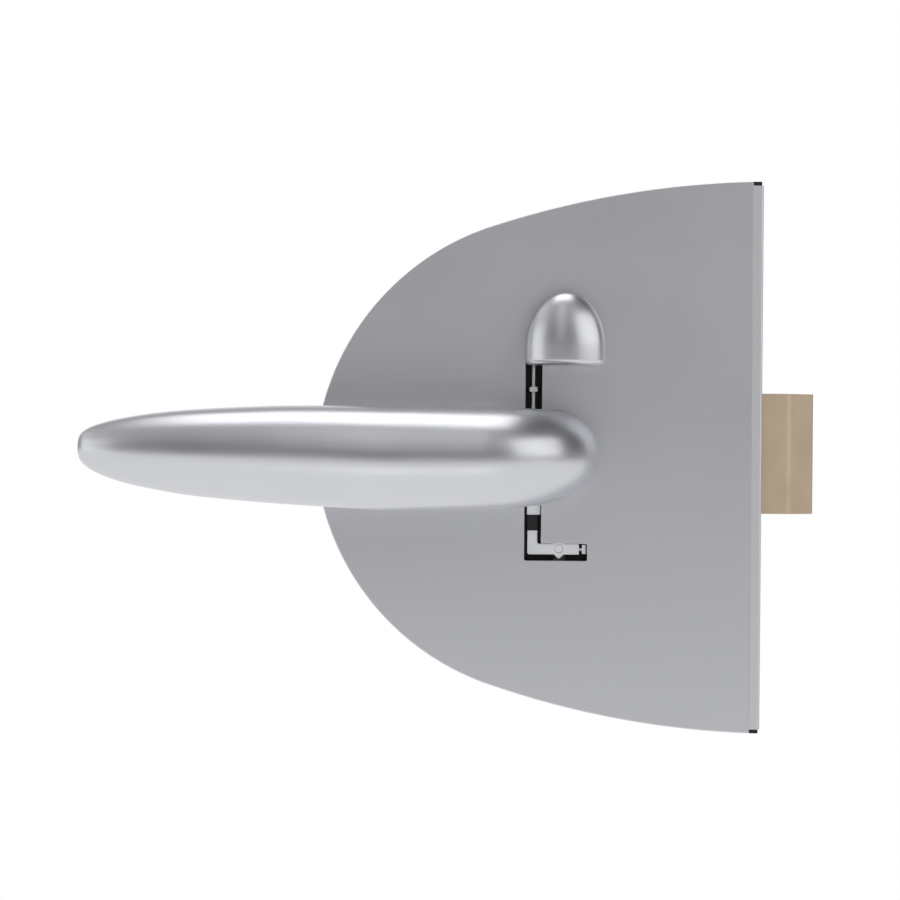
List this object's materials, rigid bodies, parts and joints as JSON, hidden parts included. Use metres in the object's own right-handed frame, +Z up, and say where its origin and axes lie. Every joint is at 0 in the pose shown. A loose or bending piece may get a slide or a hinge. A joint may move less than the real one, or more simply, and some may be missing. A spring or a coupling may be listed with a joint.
{
  "type": "glass door lock",
  "caption": "Half moon lock case for a glass door with lever handles, a sprung latch and a turn knob that throws a privacy bolt.",
  "frame": {"origin": "spindle axis in the middle plane of the glass pane", "axes": "+X towards the door's closing edge, +Y into the depth of the door away from the front handle, +Z up"},
  "size_m": [0.2069, 0.1362, 0.1578],
  "materials": {
    "satin_aluminium": "satin anodised",
    "brushed_forend": "brushed",
    "latch_metal": "dull nickel",
    "bright_steel": "bright zinc",
    "tool_steel": "machined",
    "zinc_steel": "zinc plated",
    "screw_steel": "plated",
    "spring_steel": "oiled",
    "turned_brass": "turned",
    "bearing_plastic": "moulded",
    "black_plastic": "moulded",
    "gasket_rubber": "matt"
  },
  "bodies": {
    "case": {"case_plate": "zinc_steel", "case_screws": "screw_steel", "clamp_posts": "zinc_steel", "clamp_screws": "screw_steel", "follower_bush": "turned_brass", "forend": "brushed_forend", "forend_blocks": "zinc_steel", "forend_end_caps": "black_plastic", "forend_screws": "screw_steel", "front_collar": "bearing_plastic", "front_cover": "satin_aluminium", "front_gasket": "gasket_rubber", "guide_block": "zinc_steel", "knob_bush": "bearing_plastic", "latch_buffer": "gasket_rubber", "latch_spring": "spring_steel", "liner_posts": "tool_steel", "link_guide_posts": "tool_steel", "rear_collar": "bearing_plastic", "rear_cover": "satin_aluminium", "rear_cover_screws": "screw_steel", "rear_gasket": "gasket_rubber", "rear_pillars": "zinc_steel", "rear_plate": "zinc_steel", "release_bush": "bearing_plastic", "return_spring": "spring_steel", "spring_abutment": "tool_steel", "spring_guide_pin": "tool_steel", "spring_post": "tool_steel", "tail_guide_pins": "tool_steel", "window_liner": "black_plastic"},
    "handles": {"front_lever": "satin_aluminium", "rear_lever": "satin_aluminium", "lever_grub_screws": "screw_steel", "spindle": "tool_steel", "lever_washers": "bearing_plastic", "follower": "tool_steel"},
    "latch": {"latch_head": "latch_metal", "latch_tail": "tool_steel", "latch_rivets": "tool_steel"},
    "turn_knob": {"knob": "satin_aluminium", "knob_grub_screw": "screw_steel", "knob_shaft": "tool_steel", "crank": "tool_steel", "crank_pin": "tool_steel", "shaft_clip": "tool_steel", "emergency_release": "satin_aluminium"},
    "linkage": {"link_fork": "bright_steel", "link_rod": "bright_steel", "adjusting_collar": "bright_steel", "link_bow": "bright_steel", "coupler_sleeve": "black_plastic", "link_foot": "bright_steel", "foot_end_piece": "bright_steel", "cam_pin": "bright_steel"},
    "privacy_bolt": {"bolt_head": "latch_metal", "bolt_tail": "tool_steel", "bolt_rivets": "tool_steel"}
  },
  "joints": [
    {"name": "lever_turn", "type": "hinge", "parent": "case", "child": "handles", "pos_m": [0, 0, 0], "axis": [0, -1, 0], "range_deg": [0, 45], "stiffness_Nm_per_rad": 1.2, "springref_deg": -28.65, "deforming": ["return_spring"]},
    {"name": "latch_slide", "type": "slide", "parent": "case", "child": "latch", "axis": [1, 0, 0], "range_m": [-0.01571, 0], "stiffness_N_per_m": 250, "springref_m": 0.02, "deforming": ["latch_spring"]},
    {"name": "knob_turn", "type": "hinge", "parent": "case", "child": "turn_knob", "pos_m": [0.0035, 0, 0.0352], "axis": [0, -1, 0], "range_deg": [0, 90]},
    {"name": "link_drop", "type": "slide", "parent": "case", "child": "linkage", "axis": [0, 0, -1], "range_m": [0, 0.0085]},
    {"name": "bolt_throw", "type": "slide", "parent": "case", "child": "privacy_bolt", "axis": [1, 0, 0], "range_m": [0, 0.01]}
  ],
  "couplings": [
    {"joint": "latch_slide", "follows": "lever_turn", "m_per_rad": -0.019977},
    {"joint": "knob_turn", "follows": "bolt_throw", "rad_per_m": 157.08},
    {"joint": "link_drop", "follows": "bolt_throw", "ratio": 0.84853}
  ]
}
